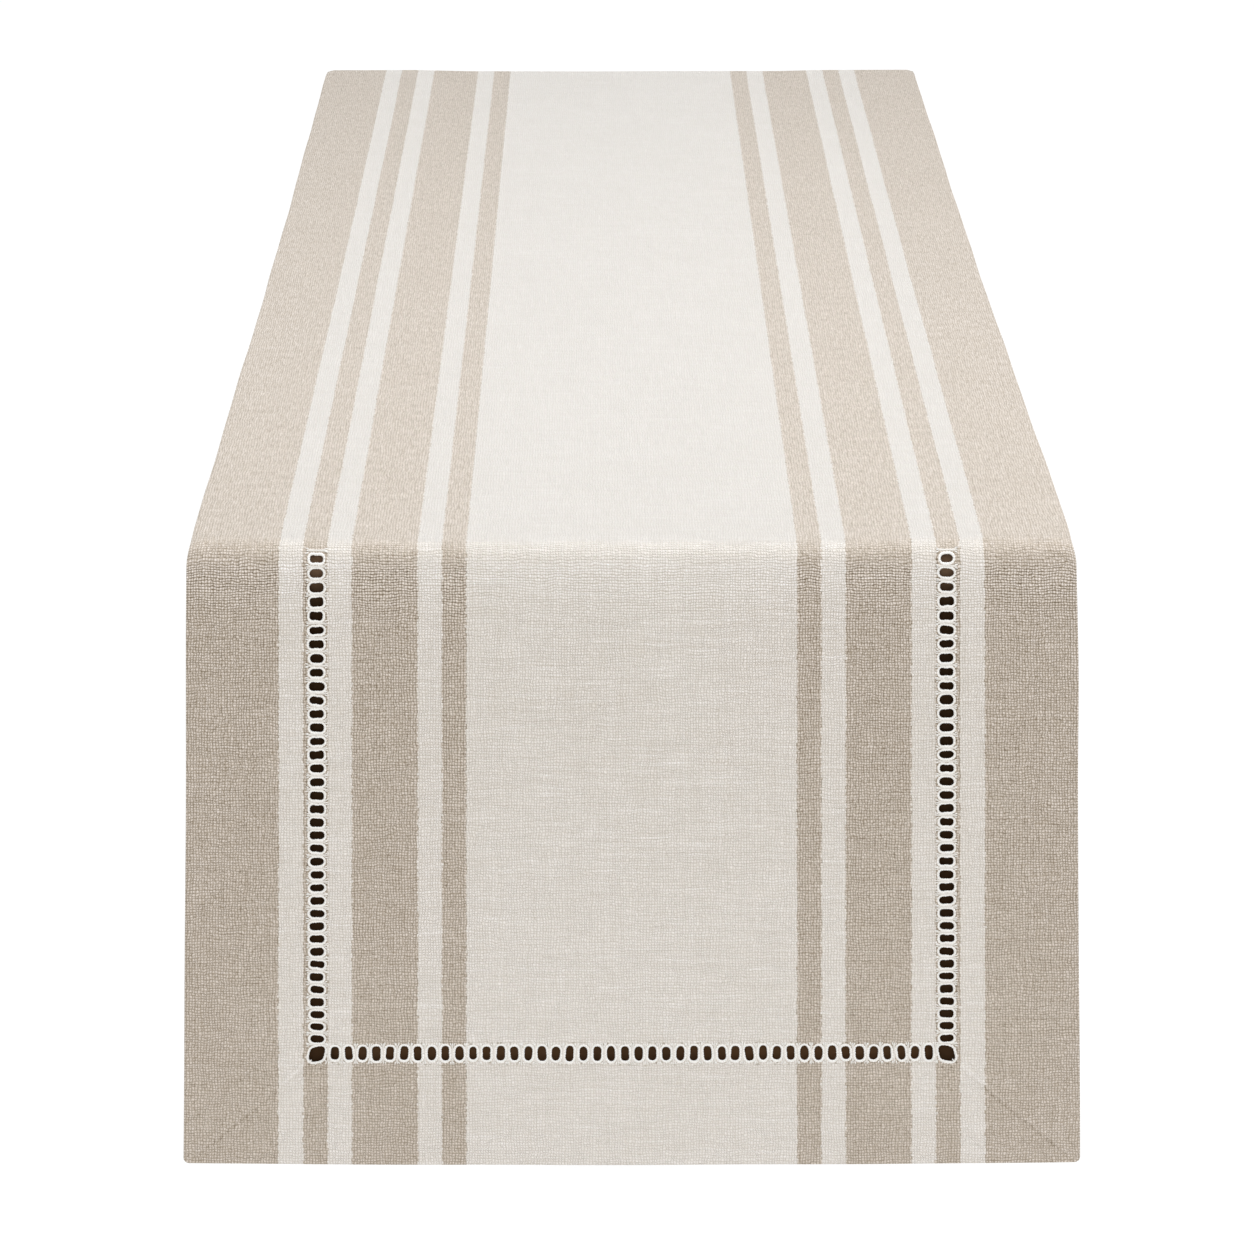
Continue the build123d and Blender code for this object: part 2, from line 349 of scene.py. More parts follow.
def steps(start, end, count):
    """count equal steps from start up to, but without, end."""
    return list(np.linspace(start, end, count, endpoint=False))


# ======== the ladder's layout ========
class Hole:
    """One opening: its place and half sizes, how its shape varies, and how far it is drawn out."""

    def __init__(self, u, e, half_u, half_e, power=SQUARENESS, vary=1.0, drawn=0.0, drawn_to=0.0):
        wide_side = half_u > half_e
        self.u = u + vary * rng.normal(0, SHIFT)
        self.e = e + vary * rng.normal(0, SHIFT)
        self.half_u = half_u * (1 + vary * rng.normal(0, WIDER))
        self.half_e = half_e * (1 + vary * rng.normal(0, DEEPER))
        self.turn = vary * math.radians(rng.normal(0, TURNED_BY))
        self.power = power + vary * rng.uniform(-0.35, 0.45)
        self.drawn, self.drawn_to = drawn, drawn_to
        self.waist_u = 0.0 if wide_side else vary * rng.uniform(0.02, 0.12)
        self.waist_e = vary * rng.uniform(0.05, 0.2) if wide_side else 0.0

    def outline(self, angle, grow=0.0):
        """Points of the outline in the directions given, grown outwards by grow."""
        half_u = self.half_u + grow
        half_e = self.half_e + grow
        c, s = np.cos(angle - self.turn), np.sin(angle - self.turn)
        reach = np.abs(c / half_u) ** self.power + np.abs(s / half_e) ** self.power
        reach = reach ** (-1 / self.power) * (1 + self.drawn * np.cos(2 * (angle - self.drawn_to)))
        x, y = reach * c, reach * s
        x = x * (1 - self.waist_u * np.exp(-((y / (0.4 * half_e)) ** 2)))
        y = y * (1 - self.waist_e * np.exp(-((x / (0.4 * half_u)) ** 2)))
        turned_x = x * math.cos(self.turn) - y * math.sin(self.turn)
        turned_y = x * math.sin(self.turn) + y * math.cos(self.turn)
        return self.u + turned_x, self.e + turned_y


def side_places():
    """Distance past the bend's start of each hole of a side row, with the one on the bend first."""
    first = BEND_LENGTH + FIRST_HOLE
    last = ROW - LAST_HOLE
    t = np.arange(SIDE_HOLES) / (SIDE_HOLES - 1)
    eased = t + TOP_PITCH_EXTRA * t * (1 - t)
    return [BEND_LENGTH - BEND_HOLE_BACK, *(first + (last - first) * eased)]


def side_bars():
    """The lines between the holes of a side row, and the two at its ends."""
    places = side_places()
    middles = [(a + b) / 2 for a, b in zip(places[:-1], places[1:])]
    return [BEND_LENGTH - BEND_LADDER, *middles, ROW_START]


def bottom_places():
    first = -BOTTOM_PITCH * (BOTTOM_HOLES - 1) / 2
    return [first + BOTTOM_PITCH * i for i in range(BOTTOM_HOLES)]


def bottom_bars():
    half = BOTTOM_PITCH * BOTTOM_HOLES / 2
    return list(np.linspace(-half, half, BOTTOM_HOLES + 1))


def side_row(hand):
    """A side row's holes, a little larger at the top than at the bottom."""
    holes = []
    for i, e in enumerate(side_places()):
        size = TOP_HOLE_SIZE - SHRINK * i / SIDE_HOLES if i else BEND_HOLE_SIZE
        half_u = HOLE_LONG / 2 * min(size, LONGEST)
        holes.append(Hole(hand * LADDER_MID, e, half_u, HOLE_SHORT / 2 * size))
    return holes


def bottom_row():
    half_u = BOTTOM_HOLE_WIDE * HOLE_SHORT / 2
    half_e = BOTTOM_HOLE_DEEP * HOLE_LONG / 2
    return [Hole(u, ROW, half_u, half_e) for u in bottom_places()]


def corner_hole(hand):
    """The larger corner opening, drawn out towards the runner's corner."""
    u, e, half = hand * LADDER_MID, ROW + CORNER_DOWN, CORNER_HOLE / 2
    corner = math.pi / 2 - hand * math.pi / 4
    return Hole(u, e, half, half, power=3.0, vary=0.3, drawn=CORNER_DRAWN, drawn_to=corner)


# ======== cloth pieces ========
def border_columns():
    """Grid lines from the ladder's outer side to the fold line, on the right."""
    columns = steps(LADDER_OUT, FOLD_U - CORNER, BORDER_STEPS)
    return [*columns, FOLD_U - CORNER, FOLD_U - CORNER / 2, FOLD_U]


def cloth_columns():
    """Grid lines across the cloth, which every cloth piece shares."""
    bars = bottom_bars()
    field = []
    for left, right in zip(bars[:-1], bars[1:]):
        field += steps(left, right, CELL)
    field.append(bars[-1])
    right = steps(LADDER_IN, LADDER_OUT, CELL) + border_columns()
    return np.array([-u for u in reversed(right)] + field + right)


def end_rows():
    """Grid lines along an end of the cloth, from before the bend to the fold line of its hem."""
    bars = side_bars()
    rows = steps(-SEAM_BACK, 0, BEFORE_BEND_STEPS) + steps(0, bars[0], BEND_STEPS)
    for upper, lower in zip(bars[:-1], bars[1:]):
        rows += steps(upper, lower, CELL)
    rows += steps(bars[-1], ROW_END, CELL)
    rows += steps(ROW_END, FOLD_E - CORNER, HEM_STEPS)
    return np.array([*rows, FOLD_E - CORNER, FOLD_E - CORNER / 2, FOLD_E])


def round_corners(u, e):
    """Draws the fold line's square corners in to quarter circles."""
    a = np.clip((np.abs(u) - FOLD_U + CORNER) / CORNER, 0, 1)
    b = np.clip((e - FOLD_E + CORNER) / CORNER, 0, 1)
    drawn_u = np.abs(u) + CORNER * a * (np.sqrt(1 - b * b / 2) - 1)
    drawn_e = e + CORNER * b * (np.sqrt(1 - a * a / 2) - 1)
    return np.sign(u) * drawn_u, drawn_e


def cell_border(row, column):
    """The rows and columns of the grid points round one ladder cell, in order."""
    near, far = [0] * CELL, [CELL] * CELL
    there = list(range(CELL))
    back = [CELL - i for i in there]
    return row + np.array(near + there + far + back), column + np.array(there + far + back + near)


def add_hole_cell(patch, numbers, rows, columns, row, column, hole):
    """Cloth between the sides of one ladder cell and the opening in it."""
    r, c = cell_border(row, column)
    u, e = columns[c], rows[r]
    angle = np.arctan2(e - hole.e, u - hole.u)
    edge_u, edge_e = hole.outline(angle, grow=CLOTH_OUT)
    rings = [numbers[r, c]]
    for share in (0.5, 1.0):
        ring_u = u + share * (edge_u - u)
        ring_e = e + share * (edge_e - e)
        rings.append(patch.add(triples(ring_u, ring_e, face_height(ring_u, ring_e))))
    patch.quads(np.stack(rings, axis=-1), closed=True)


def facing_target(u, e, corner):
    """Where the facing that starts at a fold-line point ends: the ladder, or the mitre."""
    slope = MITRE_DOWN / MITRE_ACROSS
    if corner:
        return np.sign(u) * (FOLD_U - 2 * CORNER), FOLD_E - 2 * CORNER * slope
    if abs(u) >= FOLD_U - MM * 0.01:
        inner = LADDER_OUT + max(e - ROW_END, 0) / slope
        return np.sign(u) * min(inner, FOLD_U - CORNER), e
    inner = ROW_END + slope * max(abs(u) - LADDER_OUT, 0)
    return u, min(inner, FOLD_E - CORNER)


def fold_under(patch, numbers, plan, normals, targets):
    """Folds the cloth under along a fold line, and lays the facing behind it.

    plan, normals and targets are (u, e) for each point of the line, which has the cloth on its left.
    """
    length = np.linalg.norm(targets - plan, axis=1, keepdims=True)
    inward = (targets - plan) / length
    gone = FOLD * math.pi
    # How far out from the line, how far in from it, how high, and how far round in the weave.
    profile = []
    for turn in np.linspace(0, math.pi, FOLD_STEPS + 1)[1:]:
        profile.append((FOLD * math.sin(turn), 0, CLOTH * (1 + math.cos(turn)), FOLD * turn))
    for share in np.linspace(0, 1, FACING_STEPS + 1)[1:]:
        along = (length - TURNED) * share
        profile.append((0, along, 0, gone + along))
    for turn in np.linspace(0, math.pi, TURNED_STEPS + 1)[1:]:
        along = length - TURNED + TURNED * math.sin(turn)
        profile.append((0, along, TURNED * (1 - math.cos(turn)), gone + length + TURNED * turn))
    rings = [numbers]
    for out, along, high, far in profile:
        at = plan + out * normals + along * inward
        rings.append(patch.add(np.hstack([at, high + 0 * length]), plan + far * normals))
    patch.quads(np.stack(rings, axis=-1).T)


def span_cloth(index, columns, material):
    """One length of the part that lies on the table, with its side hems folded under."""
    length = 2 * (SPAN_END - SEAM_BACK) / SPAN_PIECES
    start = -SPAN_END + SEAM_BACK + index * length
    rows = np.linspace(start, start + length, SPAN_ROWS)
    patch = Patch()
    u, v = np.meshgrid(columns, rows)
    numbers = patch.add(triples(u, v, face_height(u, 0 * u)))
    patch.quads(numbers.T)
    for hand, column in ((1, -1), (-1, 0)):
        order = slice(None, None, hand)
        plan = np.stack([0 * rows + hand * FOLD_U, rows[order]], axis=-1)
        normals = np.stack([0 * rows + hand, 0 * rows], axis=-1)
        targets = np.stack([0 * rows + hand * LADDER_OUT, rows[order]], axis=-1)
        fold_under(patch, numbers[order, column], plan, normals, targets)
    piece = patch.piece(f"span_cloth_{index + 1}", material, "ivory_linen")
    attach(piece, "table_span")
    return piece


def end_cloth(name, end, columns, holes, material):
    """One end of the runner: the bend and the hanging part, with openings and hems."""
    rows = end_rows()
    patch = Patch()
    u, e = round_corners(*np.meshgrid(columns, rows))
    bars = side_bars()
    first_row = int(np.argmin(abs(rows - bars[0])))
    row_line = int(np.argmin(abs(rows - ROW_START)))
    middle = len(columns) // 2
    left = int(np.argmin(abs(columns + LADDER_OUT)))
    right = int(np.argmin(abs(columns - LADDER_IN)))
    field = middle - CELL * BOTTOM_HOLES // 2
    cells = []
    for column, side in ((left, "left"), (right, "right")):
        cells += [(first_row + CELL * i, column, hole) for i, hole in enumerate(holes[side])]
    cells += [(row_line, field + CELL * i, hole) for i, hole in enumerate(holes["end"])]
    cells += [(row_line, left, holes["corners"][0]), (row_line, right, holes["corners"][1])]

    numbers = patch.add(triples(u, e, face_height(u, e)))
    solid = np.ones((len(rows) - 1, len(columns) - 1), bool)
    for row, column, hole in cells:
        solid[row : row + CELL, column : column + CELL] = False
        add_hole_cell(patch, numbers, rows, columns, row, column, hole)
    corners = [numbers[:-1, :-1], numbers[:-1, 1:], numbers[1:, 1:], numbers[1:, :-1]]
    patch.faces += np.stack(corners, axis=-1)[solid].tolist()

    last_row, last_column = len(rows) - 1, len(columns) - 1
    path = [(i, last_column) for i in range(last_row)]
    path += [(last_row, j) for j in range(last_column, 0, -1)]
    path += [(i, 0) for i in range(last_row, -1, -1)]
    i, j = np.array(path).T
    plan = np.stack([u[i, j], e[i, j]], axis=-1)
    inner = np.clip(plan, (CORNER - FOLD_U, -HEM), (FOLD_U - CORNER, FOLD_E - CORNER))
    normals = (plan - inner) / np.linalg.norm(plan - inner, axis=1, keepdims=True)
    corners = (i == last_row) & ((j == 0) | (j == last_column))
    targets = np.array([facing_target(*point) for point in zip(columns[j], rows[i], corners)])
    fold_under(patch, numbers[i, j], plan, normals, targets)
    piece = patch.piece(f"{name}_cloth", material, "ivory_linen", end)
    bend_with_drop(piece, end)
    return piece


def bend_with_drop(piece, end):
    """Bakes the piece's transform into its mesh; the start and stop of its end's bend are found but not
    used.
    """
    v = end * np.array([SPAN_END, SPAN_END + BEND_LENGTH])
    start, stop = place(0 * v, v, CLOTH / 2 + 0 * v)
    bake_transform(piece)


# ======== threads ========
def all_round(half, sides):
    """A half size for each point of a path, or for each side at each point, as the latter."""
    return np.outer(half, np.ones(sides)) if np.ndim(half) == 1 else half


def add_tube(patch, path, half_wide, half_high, sides=8, closed=False):
    """A thread along a path of (u, e, h) points, with its half sizes at each point."""
    path = np.asarray(path, float)
    if closed:
        tangent = np.roll(path, -1, axis=0) - np.roll(path, 1, axis=0)
    else:
        tangent = np.gradient(path, axis=0)
    across = np.stack([-tangent[:, 1], tangent[:, 0], 0 * tangent[:, 0]], axis=-1)
    across /= np.linalg.norm(across, axis=1, keepdims=True)
    turn = np.linspace(0, 2 * np.pi, sides, endpoint=False)
    wide, high = all_round(half_wide, sides), all_round(half_high, sides)
    at = path[:, None, :] + (wide * np.cos(turn))[:, :, None] * across[:, None, :]
    at[:, :, 2] += high * np.sin(turn)
    along = np.concatenate([[0], np.cumsum(np.linalg.norm(np.diff(path, axis=0), axis=1))])
    run = np.broadcast_to(along[:, None], wide.shape)
    girth = np.broadcast_to(turn[None, :] * np.mean(half_wide), wide.shape)
    numbers = patch.add(at, np.stack([run, girth], axis=-1))
    ring = np.concatenate([numbers, numbers[:, :1]], axis=1)
    patch.quads(ring, closed=closed)
    if not closed:
        patch.faces.append(numbers[0].tolist())
        patch.faces.append(numbers[-1][::-1].tolist())


def rims(holes):
    patch = Patch()
    for hole in holes:
        add_rim(patch, hole)
    return patch


def add_rim(patch, hole):
    """Thread wrapped round the edge of one opening."""
    angle = np.linspace(0, 2 * np.pi, RIM_POINTS, endpoint=False)
    u, e = hole.outline(angle, grow=RIM_OUT)
    along = np.concatenate([[0], np.cumsum(np.hypot(np.diff(u), np.diff(e)))])
    share = along / (along[-1] + math.hypot(u[0] - u[-1], e[0] - e[-1]))
    turn = np.linspace(0, 2 * np.pi, 8, endpoint=False)
    wrap = np.cos(2 * np.pi * RIM_WRAPS * share[:, None] + turn[None, :])
    uneven = 1 + 0.08 * np.sin(2 * np.pi * (3 * share + rng.random()))
    uneven = uneven + rng.normal(0, 0.03, RIM_POINTS)
    thick = uneven[:, None] * (1 + 0.13 * wrap)
    high = face_height(u, e) - RIM_SUNK
    add_tube(patch, triples(u, e, high), RIM * thick, RIM_HIGH * thick, closed=True)


def between(start, stop, t):
    return [a + t * (b - a) for a, b in zip(start, stop)]


def add_stitch(patch, start, stop):
    """A short stitch on the cloth from start to stop (u, e): it lifts a little, then goes in."""
    t = np.linspace(0, 1, 6)
    u, e = between(start, stop, t)
    h = face_height(u, e) + STITCH_ARCH * np.sin(np.pi * t) + 0.4 * STITCH - STITCH_DIVE * t**3
    half = STITCH * (1 - 0.35 * t)
    add_tube(patch, triples(u, e, h), half, half, sides=6)


def add_fringe(patch, u, e, along_u):
    """Stitches that fan out from both ends of a bar into the cloth."""
    for way in (-1, 1):
        for splay in SPLAYS:
            side = (splay + rng.normal(0, 0.15)) * MM
            far = way * (FRINGE_START + FRINGE * rng.uniform(0.8, 1.25))
            near = way * (FRINGE_START + 0.2 * MM)
            if along_u:
                add_stitch(patch, (u + 0.8 * side, e + near), (u + 1.25 * side, e + far))
            else:
                add_stitch(patch, (u + near, e + 0.8 * side), (u + far, e + 1.25 * side))


def add_bar(patch, u, e, along_u):
    """The bundle of yarns left across the ladder between two openings, bound with thread."""
    t = np.linspace(-1, 1, 15)
    reach = 0.46 * LADDER * t
    at_u = u + (0 * t if along_u else reach)
    at_e = e + (reach if along_u else 0 * t)
    half = (0.44 + 0.12 * np.abs(t) ** 3 + 0.05 * np.cos(9 * np.pi * t)) * MM
    h = face_height(at_u, at_e) - BAR_SUNK
    add_tube(patch, triples(at_u, at_e, h), half, half)


def side_threads(name, hand_name, hand, end, holes, thread):
    patch = rims(holes)
    for e in side_bars():
        add_fringe(patch, hand * LADDER_MID, e, False)
    piece = patch.piece(f"{name}_{hand_name}_ladder_thread", thread, "ladder_thread", end, solid=True)
    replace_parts(piece, f"{name}_{hand_name}_ladder", f"{name}_bend_ladder")
    return piece


def end_threads(name, end, holes, thread):
    patch = rims(holes)
    for u in bottom_bars():
        add_fringe(patch, u, ROW, True)
    piece = patch.piece(f"{name}_end_ladder_thread", thread, "ladder_thread", end, solid=True)
    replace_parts(piece, f"{name}_end_ladder")
    return piece


def corner_threads(name, end, holes, thread):
    patch = rims(holes)
    for hand in (-1, 1):
        centre = np.array([hand * LADDER_MID, ROW])
        for turn in np.radians(CORNER_STITCHES):
            out = np.array([-hand * math.cos(turn), -math.sin(turn)])
            add_stitch(patch, centre + CORNER_STITCH_FROM * out, centre + CORNER_STITCH_TO * out)
    piece = patch.piece(f"{name}_ladder_corner_thread", thread, "ladder_thread", end, solid=True)
    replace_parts(piece, f"{name}_ladder_corners")
    return piece


def ladder_bars(name, end, core):
    patch = Patch()
    for hand in (-1, 1):
        for e in side_bars():
            add_bar(patch, hand * LADDER_MID, e, False)
    for u in bottom_bars():
        add_bar(patch, u, ROW, True)
    return patch.piece(f"{name}_ladder_bars", core, "ladder_thread", end, solid=True)


def reverse_stitch(patch, start, stop):
    """A slanting stitch on the reverse, just proud of the facing."""
    t = np.linspace(0, 1, 7)
    u, e = between(start, stop, t)
    h = 0.25 * MM - 0.2 * MM * np.sin(np.pi * t)
    half = np.full_like(t, SEWING)
    add_tube(patch, triples(u, e, h), half, half, sides=6)


def mitre_stitches(name, end, sewing):
    """Stitches across both mitred seams on the reverse."""
    patch = Patch()
    along = np.array([MITRE_ACROSS, MITRE_DOWN])
    length = np.linalg.norm(along)
    forward = along / length
    across = np.array([-forward[1], forward[0]])
    for hand in (-1, 1):
        for distance in np.arange(2.0 * MM, length - 3.0 * MM, SEAM_STITCH):
            at = np.array([LADDER_OUT, ROW_END]) + forward * distance
            start = at - 0.7 * MM * across - 0.4 * MM * forward
            stop = at + 0.7 * MM * across + 0.4 * MM * forward
            reverse_stitch(patch, (hand * start[0], start[1]), (hand * stop[0], stop[1]))
    piece = patch.piece(f"{name}_mitre_stitches", sewing, "sewing_thread", end, solid=True)
    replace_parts(piece, f"{name}_mitre_seams")
    return piece


def hem_stitches(sewing):
    """Stitches that catch the side hems' facings under the part on the table."""
    patch = Patch()
    for hand in (-1, 1):
        for v in np.arange(-SPAN_END + 4.0 * MM, SPAN_END - 4.0 * MM, HEM_STITCH):
            start = (hand * (LADDER_OUT + 0.9 * MM), v)
            stop = (hand * (LADDER_OUT - 0.3 * MM), v + 1.5 * MM)
            reverse_stitch(patch, start, stop)
    piece = patch.piece("span_hem_stitches", sewing, "sewing_thread", solid=True)
    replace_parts(piece, "span_hem_thread")
    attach(piece, "table_span")
    return piece


# ======== materials ========
class Nodes:
    """A material's nodes. An input is a number or another node's output."""

    def __init__(self, name):
        self.material = bpy.data.materials.new(name)
        self.material.use_nodes = True
        self.tree = self.material.node_tree
        self.shader = self.tree.nodes["Principled BSDF"]

    def feed(self, socket, value):
        if isinstance(value, bpy.types.NodeSocket):
            self.tree.links.new(value, socket)
        else:
            socket.default_value = value

    def surface(self, **values):
        """Feeds the shader's own inputs, named with underscores for spaces."""
        for name, value in values.items():
            self.feed(self.shader.inputs[name.replace("_", " ")], value)

    def math(self, operation, *values):
        node = self.tree.nodes.new("ShaderNodeMath")
        node.operation = operation
        for socket, value in zip(node.inputs, values):
            self.feed(socket, value)
        return node.outputs[0]

    def sum(self, *values):
        total = values[0]
        for value in values[1:]:
            total = self.math("ADD", total, value)
        return total

    def product(self, *values):
        total = values[0]
        for value in values[1:]:
            total = self.math("MULTIPLY", total, value)
        return total

    def scale(self, value, low, high, to_low=0.0, to_high=1.0):
        """The value's range from low to high, spread over another range and held to it."""
        node = self.tree.nodes.new("ShaderNodeMapRange")
        for socket, number in zip(node.inputs, (value, low, high, to_low, to_high)):
            self.feed(socket, number)
        return node.outputs[0]

    def centred(self, value, reach):
        """A value from 0 to 1 moved to lie about 0, reach from end to end."""
        return self.product(self.math("SUBTRACT", value, 0.5), reach)

    def join(self, x, y, z=0.0):
        node = self.tree.nodes.new("ShaderNodeCombineXYZ")
        for socket, value in zip(node.inputs, (x, y, z)):
            self.feed(socket, value)
        return node.outputs[0]

    def split(self, vector):
        node = self.tree.nodes.new("ShaderNodeSeparateXYZ")
        self.feed(node.inputs[0], vector)
        return node.outputs

    def noise(self, vector, scale, detail=2.0, colour=False):
        node = self.tree.nodes.new("ShaderNodeTexNoise")
        self.feed(node.inputs["Vector"], vector)
        node.inputs["Scale"].default_value = scale
        node.inputs["Detail"].default_value = detail
        return node.outputs["Color" if colour else "Fac"]

    def stretched(self, x, x_scale, y, y_scale, z=0.0, detail=2.0):
        """Noise with a scale of its own in each of two directions."""
        where = self.join(self.product(x, x_scale), self.product(y, y_scale), z)
        return self.noise(where, 1.0, detail)

    def cell_random(self, x, y):
        """A random number for each pair of whole numbers."""
        node = self.tree.nodes.new("ShaderNodeTexWhiteNoise")
        node.noise_dimensions = "2D"
        self.feed(node.inputs["Vector"], self.join(x, y))
        return node.outputs["Value"]

    def cells(self, x, y, size, randomness=0.75):
        """Distance from the middle of irregular cells, in cell sizes."""
        node = self.tree.nodes.new("ShaderNodeTexVoronoi")
        node.voronoi_dimensions = "2D"
        where = self.join(self.math("DIVIDE", x, size), self.math("DIVIDE", y, size))
        self.feed(node.inputs["Vector"], where)
        node.inputs["Scale"].default_value = 1.0
        node.inputs["Randomness"].default_value = randomness
        return node.outputs["Distance"]

    def mix(self, factor, a, b, kind="MIX"):
        node = self.tree.nodes.new("ShaderNodeMix")
        node.data_type = "RGBA"
        node.blend_type = kind
        self.feed(node.inputs[0], factor)
        for socket, value in zip(node.inputs[6:8], (a, b)):
            self.feed(socket, value)
        return node.outputs[2]

    def shade(self, colour, value):
        """The colour made lighter or darker by a factor."""
        node = self.tree.nodes.new("ShaderNodeVectorMath")
        node.operation = "SCALE"
        self.feed(node.inputs[0], colour)
        self.feed(node.inputs["Scale"], value)
        return node.outputs[0]

    def cloth_place(self):
        node = self.tree.nodes.new("ShaderNodeUVMap")
        node.uv_map = "cloth"
        return node.outputs[0]

    def position(self):
        return self.tree.nodes.new("ShaderNodeNewGeometry").outputs["Position"]

    def bump(self, height, distance):
        node = self.tree.nodes.new("ShaderNodeBump")
        self.feed(node.inputs["Height"], height)
        node.inputs["Distance"].default_value = distance
        node.inputs["Strength"].default_value = 1.0
        self.surface(Normal=node.outputs[0])


IVORY_YARN = (0.808, 0.747, 0.675, 1.0)
FLAX_YARN = (0.540, 0.459, 0.372, 1.0)
THREAD_WHITE = (1.0, 0.975, 0.93, 1.0)
THREAD_GREY = (0.84, 0.80, 0.74, 1.0)

# How strongly each thing lightens the cloth, in the ivory stripes and in the flax ones.
LUMPS = (-0.10, -0.48)  # soft lumps as wide as a yarn
OWN_TONE = (0.04, 0.18)  # each crossing's own tone
MOTTLE = (0.02, 0.05)
WARP_SLUBS = (0.20, 0.36)  # thick and thin places along the warp
WEFT_SLUBS = (0.28, 0.42)  # and along the weft
PAINTED_GAP_SHADE = (-0.31, -0.82)  # painted shade in the gaps between the yarns
STREAKS = (0.05, 0.7)  # streaks along the warp on the table
PAINTED_TABLE_LIGHT = (0.0, 0.095)  # painted light on all of the cloth on the table
FURROW_SHADE = (0.28, 0.8)  # painted shade between the weft yarns, where the bend strains them apart
CROWN_LIGHT_AND_SHADE = (-0.04, 0.06)  # painted light and shade at the top of the bend
SEAM_SHADOW = (-0.04, -0.2)  # painted shadow beside the mitred seam, in dots where its needle pricks are
SHEEN = (0.97, 0.40)

# And how strongly in both.
THICK = 0.07  # the thickest places of the weft
FIBRE = 0.12
CLOUDY = 0.06
# Painted highlight along the mitred seam's ridge.
SEAM = 0.09
NEEDLE_MARKS = -0.38
PAINTED_LIGHT_UNDER_BEND = 0.08  # painted light just under the bend
PAINTED_LIGHT_TOWARD_HEM = 0.075  # painted light towards the hem


def stripe_mask(nodes, distance):
    """1 in the flax stripes and 0 in the ivory ones, from the distance off the centre line."""
    ramp = nodes.tree.nodes.new("ShaderNodeValToRGB")
    ramp.color_ramp.interpolation = "CONSTANT"
    elements = ramp.color_ramp.elements
    elements[0].color = (0, 0, 0, 1)
    elements.remove(elements[1])
    reach = 1.4 * HALF_WIDTH
    for i, edge in enumerate(STRIPE_EDGES):
        value = float(i % 2 == 0)
        elements.new(edge / reach).color = (value, value, value, 1)
    nodes.feed(ramp.inputs[0], nodes.math("DIVIDE", distance, reach))
    return ramp.outputs[0]


